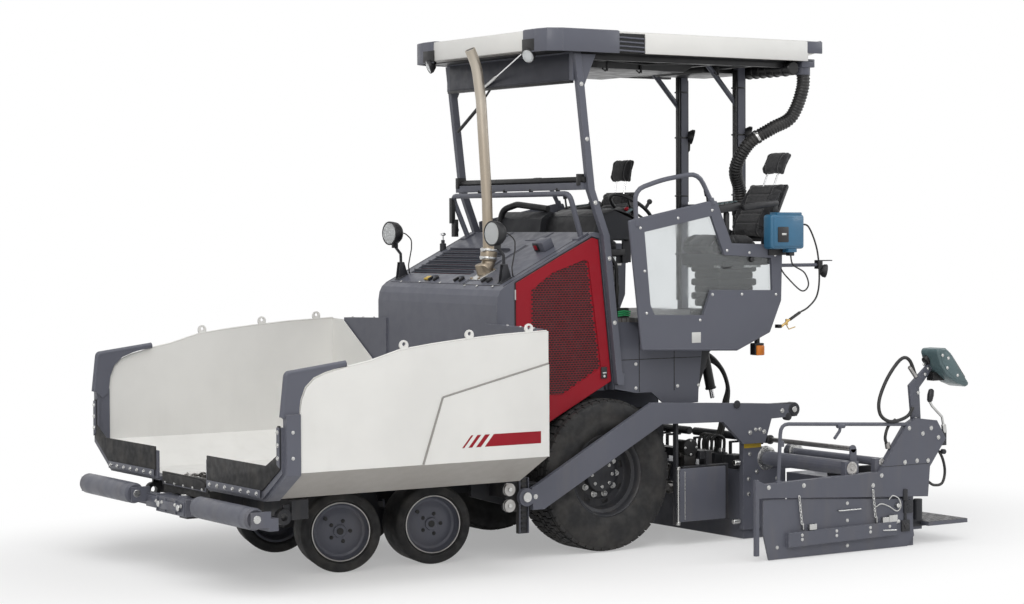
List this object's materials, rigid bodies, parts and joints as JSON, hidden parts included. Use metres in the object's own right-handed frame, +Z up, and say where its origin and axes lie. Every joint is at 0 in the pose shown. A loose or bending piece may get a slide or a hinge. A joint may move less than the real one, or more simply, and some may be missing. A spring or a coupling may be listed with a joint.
{
  "type": "wheeled asphalt paver",
  "caption": "Compact wheeled asphalt paver with hopper, push rollers, open canopied platform, sloping engine hood, tow arms and a screed with extensions run out.",
  "frame": {"origin": "on the ground under the middle of the machine's bounding box", "axes": "+X forward to the hopper, +Y to the left, +Z up"},
  "size_m": [5.523, 3.9614, 3.63],
  "materials": {
    "grey_paint": "satin",
    "dark_paint": "satin",
    "white_paint": "gloss",
    "red_paint": "gloss",
    "tyre_rubber": "matt",
    "black_rubber": "matt",
    "exhaust_steel": "satin",
    "worn_steel": "worn",
    "blue_plastic": "satin",
    "seat_cloth": "matt",
    "console_plastic": "satin"
  },
  "bodies": {
    "chassis": {"main_frame": "dark_paint", "conveyor_floor": "worn_steel", "centre_flap": "black_rubber", "hood_shell": "grey_paint", "engine_block": "dark_paint", "exhaust_pipe": "exhaust_steel", "rear_body": "grey_paint", "platform_floor": "grey_paint", "front_hand_rail": "grey_paint", "canopy_front_frame": "grey_paint", "canopy_rear_frame": "grey_paint", "canopy_roof": "white_paint", "operator_console": "dark_paint", "steering_wheel": "dark_paint", "air_duct": "black_rubber", "control_box": "blue_plastic", "auger_mount": "grey_paint", "frame_side_left": "dark_paint", "hood_lamp_left": "dark_paint", "side_panel_left": "grey_paint", "seat_base_left": "dark_paint", "seat_cushion_left": "seat_cloth", "seat_back_left": "seat_cloth", "frame_side_right": "dark_paint", "side_panel_right": "grey_paint", "seat_base_right": "dark_paint", "seat_cushion_right": "seat_cloth", "seat_back_right": "seat_cloth"},
    "push_beam_body": {"push_beam": "grey_paint"},
    "hood_lid_body": {"hood_lid": "grey_paint", "hood_lamp_right": "dark_paint"},
    "screed": {"screed_main": "grey_paint", "tow_arm_left": "grey_paint", "tow_arm_right": "grey_paint"},
    "push_roller_left_body": {"push_roller_left": "grey_paint"},
    "wing_left": {"hopper_wing_left": "white_paint", "wing_front_left": "grey_paint"},
    "door_left": {"side_door_left": "red_paint"},
    "front_knuckle_left_body": {"front_knuckle_left": "dark_paint"},
    "front_wheel_left_body": {"front_wheel_left": "tyre_rubber"},
    "middle_knuckle_left_body": {"middle_knuckle_left": "dark_paint"},
    "middle_wheel_left_body": {"middle_wheel_left": "tyre_rubber"},
    "rear_wheel_left_body": {"rear_wheel_left": "tyre_rubber"},
    "auger_left_body": {"auger_left": "worn_steel"},
    "extension_left": {"screed_extension_left": "grey_paint", "end_gate_left": "grey_paint", "screed_console_left": "console_plastic"},
    "push_roller_right_body": {"push_roller_right": "grey_paint"},
    "wing_right": {"hopper_wing_right": "white_paint", "wing_front_right": "grey_paint"},
    "door_right": {"side_door_right": "red_paint"},
    "front_knuckle_right_body": {"front_knuckle_right": "dark_paint"},
    "front_wheel_right_body": {"front_wheel_right": "tyre_rubber"},
    "middle_knuckle_right_body": {"middle_knuckle_right": "dark_paint"},
    "middle_wheel_right_body": {"middle_wheel_right": "tyre_rubber"},
    "rear_wheel_right_body": {"rear_wheel_right": "tyre_rubber"},
    "auger_right_body": {"auger_right": "worn_steel"},
    "extension_right": {"screed_extension_right": "grey_paint", "end_gate_right": "grey_paint", "screed_console_right": "console_plastic"}
  },
  "joints": [
    {"name": "push_beam_swing", "type": "hinge", "parent": "chassis", "child": "push_beam_body", "pos_m": [2.5285, 0, 0.44], "axis": [0, 0, 1], "range_deg": [-5, 5]},
    {"name": "push_roller_left_spin", "type": "hinge", "parent": "push_beam_body", "child": "push_roller_left_body", "pos_m": [2.6915, 0.88, 0.48], "axis": [0, 1, 0], "continuous": true},
    {"name": "wing_left_fold", "type": "hinge", "parent": "chassis", "child": "wing_left", "pos_m": [1.5285, 0.43, 0.59], "axis": [1, 0, 0], "range_deg": [0, 45]},
    {"name": "side_door_left_open", "type": "hinge", "parent": "chassis", "child": "door_left", "pos_m": [0.4455, 0.808, 1.5], "axis": [0, 0, -1], "range_deg": [0, 85]},
    {"name": "front_steer_left", "type": "hinge", "parent": "chassis", "child": "front_knuckle_left_body", "pos_m": [1.6595, 0.392, 0.27], "axis": [0, 0, 1], "range_deg": [-7, 43]},
    {"name": "front_wheel_left_spin", "type": "hinge", "parent": "front_knuckle_left_body", "child": "front_wheel_left_body", "pos_m": [1.71141, 0.55178, 0.27], "axis": [0.309, 0.9511, 0], "continuous": true},
    {"name": "middle_steer_left", "type": "hinge", "parent": "chassis", "child": "middle_knuckle_left_body", "pos_m": [0.9905, 0.392, 0.27], "axis": [0, 0, 1], "range_deg": [-4.3, 26.3]},
    {"name": "middle_wheel_left_spin", "type": "hinge", "parent": "middle_knuckle_left_body", "child": "middle_wheel_left_body", "pos_m": [1.02256, 0.55691, 0.27], "axis": [0.1908, 0.9816, 0], "continuous": true},
    {"name": "rear_wheel_left_spin", "type": "hinge", "parent": "chassis", "child": "rear_wheel_left_body", "pos_m": [-0.2715, 0.7075, 0.536], "axis": [0, 1, 0], "continuous": true},
    {"name": "auger_left_spin", "type": "hinge", "parent": "chassis", "child": "auger_left_body", "pos_m": [-1.2765, 0.47, 0.35], "axis": [0, 1, 0], "continuous": true},
    {"name": "push_roller_right_spin", "type": "hinge", "parent": "push_beam_body", "child": "push_roller_right_body", "pos_m": [2.6915, -0.88, 0.48], "axis": [0, 1, 0], "continuous": true},
    {"name": "wing_right_fold", "type": "hinge", "parent": "chassis", "child": "wing_right", "pos_m": [1.5285, -0.43, 0.59], "axis": [-1, 0, 0], "range_deg": [0, 45]},
    {"name": "side_door_right_open", "type": "hinge", "parent": "chassis", "child": "door_right", "pos_m": [0.4455, -0.808, 1.5], "axis": [0, 0, 1], "range_deg": [0, 85]},
    {"name": "front_steer_right", "type": "hinge", "parent": "chassis", "child": "front_knuckle_right_body", "pos_m": [1.6595, -0.392, 0.27], "axis": [0, 0, 1], "range_deg": [-7, 43]},
    {"name": "front_wheel_right_spin", "type": "hinge", "parent": "front_knuckle_right_body", "child": "front_wheel_right_body", "pos_m": [1.60759, -0.55178, 0.27], "axis": [0.309, 0.9511, 0], "continuous": true},
    {"name": "middle_steer_right", "type": "hinge", "parent": "chassis", "child": "middle_knuckle_right_body", "pos_m": [0.9905, -0.392, 0.27], "axis": [0, 0, 1], "range_deg": [-4.3, 26.3]},
    {"name": "middle_wheel_right_spin", "type": "hinge", "parent": "middle_knuckle_right_body", "child": "middle_wheel_right_body", "pos_m": [0.95844, -0.55691, 0.27], "axis": [0.1908, 0.9816, 0], "continuous": true},
    {"name": "rear_wheel_right_spin", "type": "hinge", "parent": "chassis", "child": "rear_wheel_right_body", "pos_m": [-0.2715, -0.7075, 0.536], "axis": [0, 1, 0], "continuous": true},
    {"name": "auger_right_spin", "type": "hinge", "parent": "chassis", "child": "auger_right_body", "pos_m": [-1.2765, -0.47, 0.35], "axis": [0, 1, 0], "continuous": true},
    {"name": "extension_left_slide", "type": "slide", "parent": "screed", "child": "extension_left", "axis": [0, 1, 0], "range_m": [-0.875, 0]},
    {"name": "extension_right_slide", "type": "slide", "parent": "screed", "child": "extension_right", "axis": [0, -1, 0], "range_m": [-0.875, 0]},
    {"name": "hood_lid_open", "type": "hinge", "parent": "chassis", "child": "hood_lid_body", "pos_m": [-0.0135, -0.25, 2.14187], "axis": [0, -1, 0], "range_deg": [0, 45]},
    {"name": "screed_lift", "type": "hinge", "parent": "chassis", "child": "screed", "pos_m": [0.4685, 0, 0.44], "axis": [0, 1, 0], "range_deg": [0, 9]}
  ],
  "couplings": [
    {"joint": "front_steer_right", "follows": "front_steer_left", "ratio": 1},
    {"joint": "middle_steer_left", "follows": "front_steer_left", "ratio": 0.61111},
    {"joint": "middle_steer_right", "follows": "front_steer_left", "ratio": 0.61111}
  ]
}
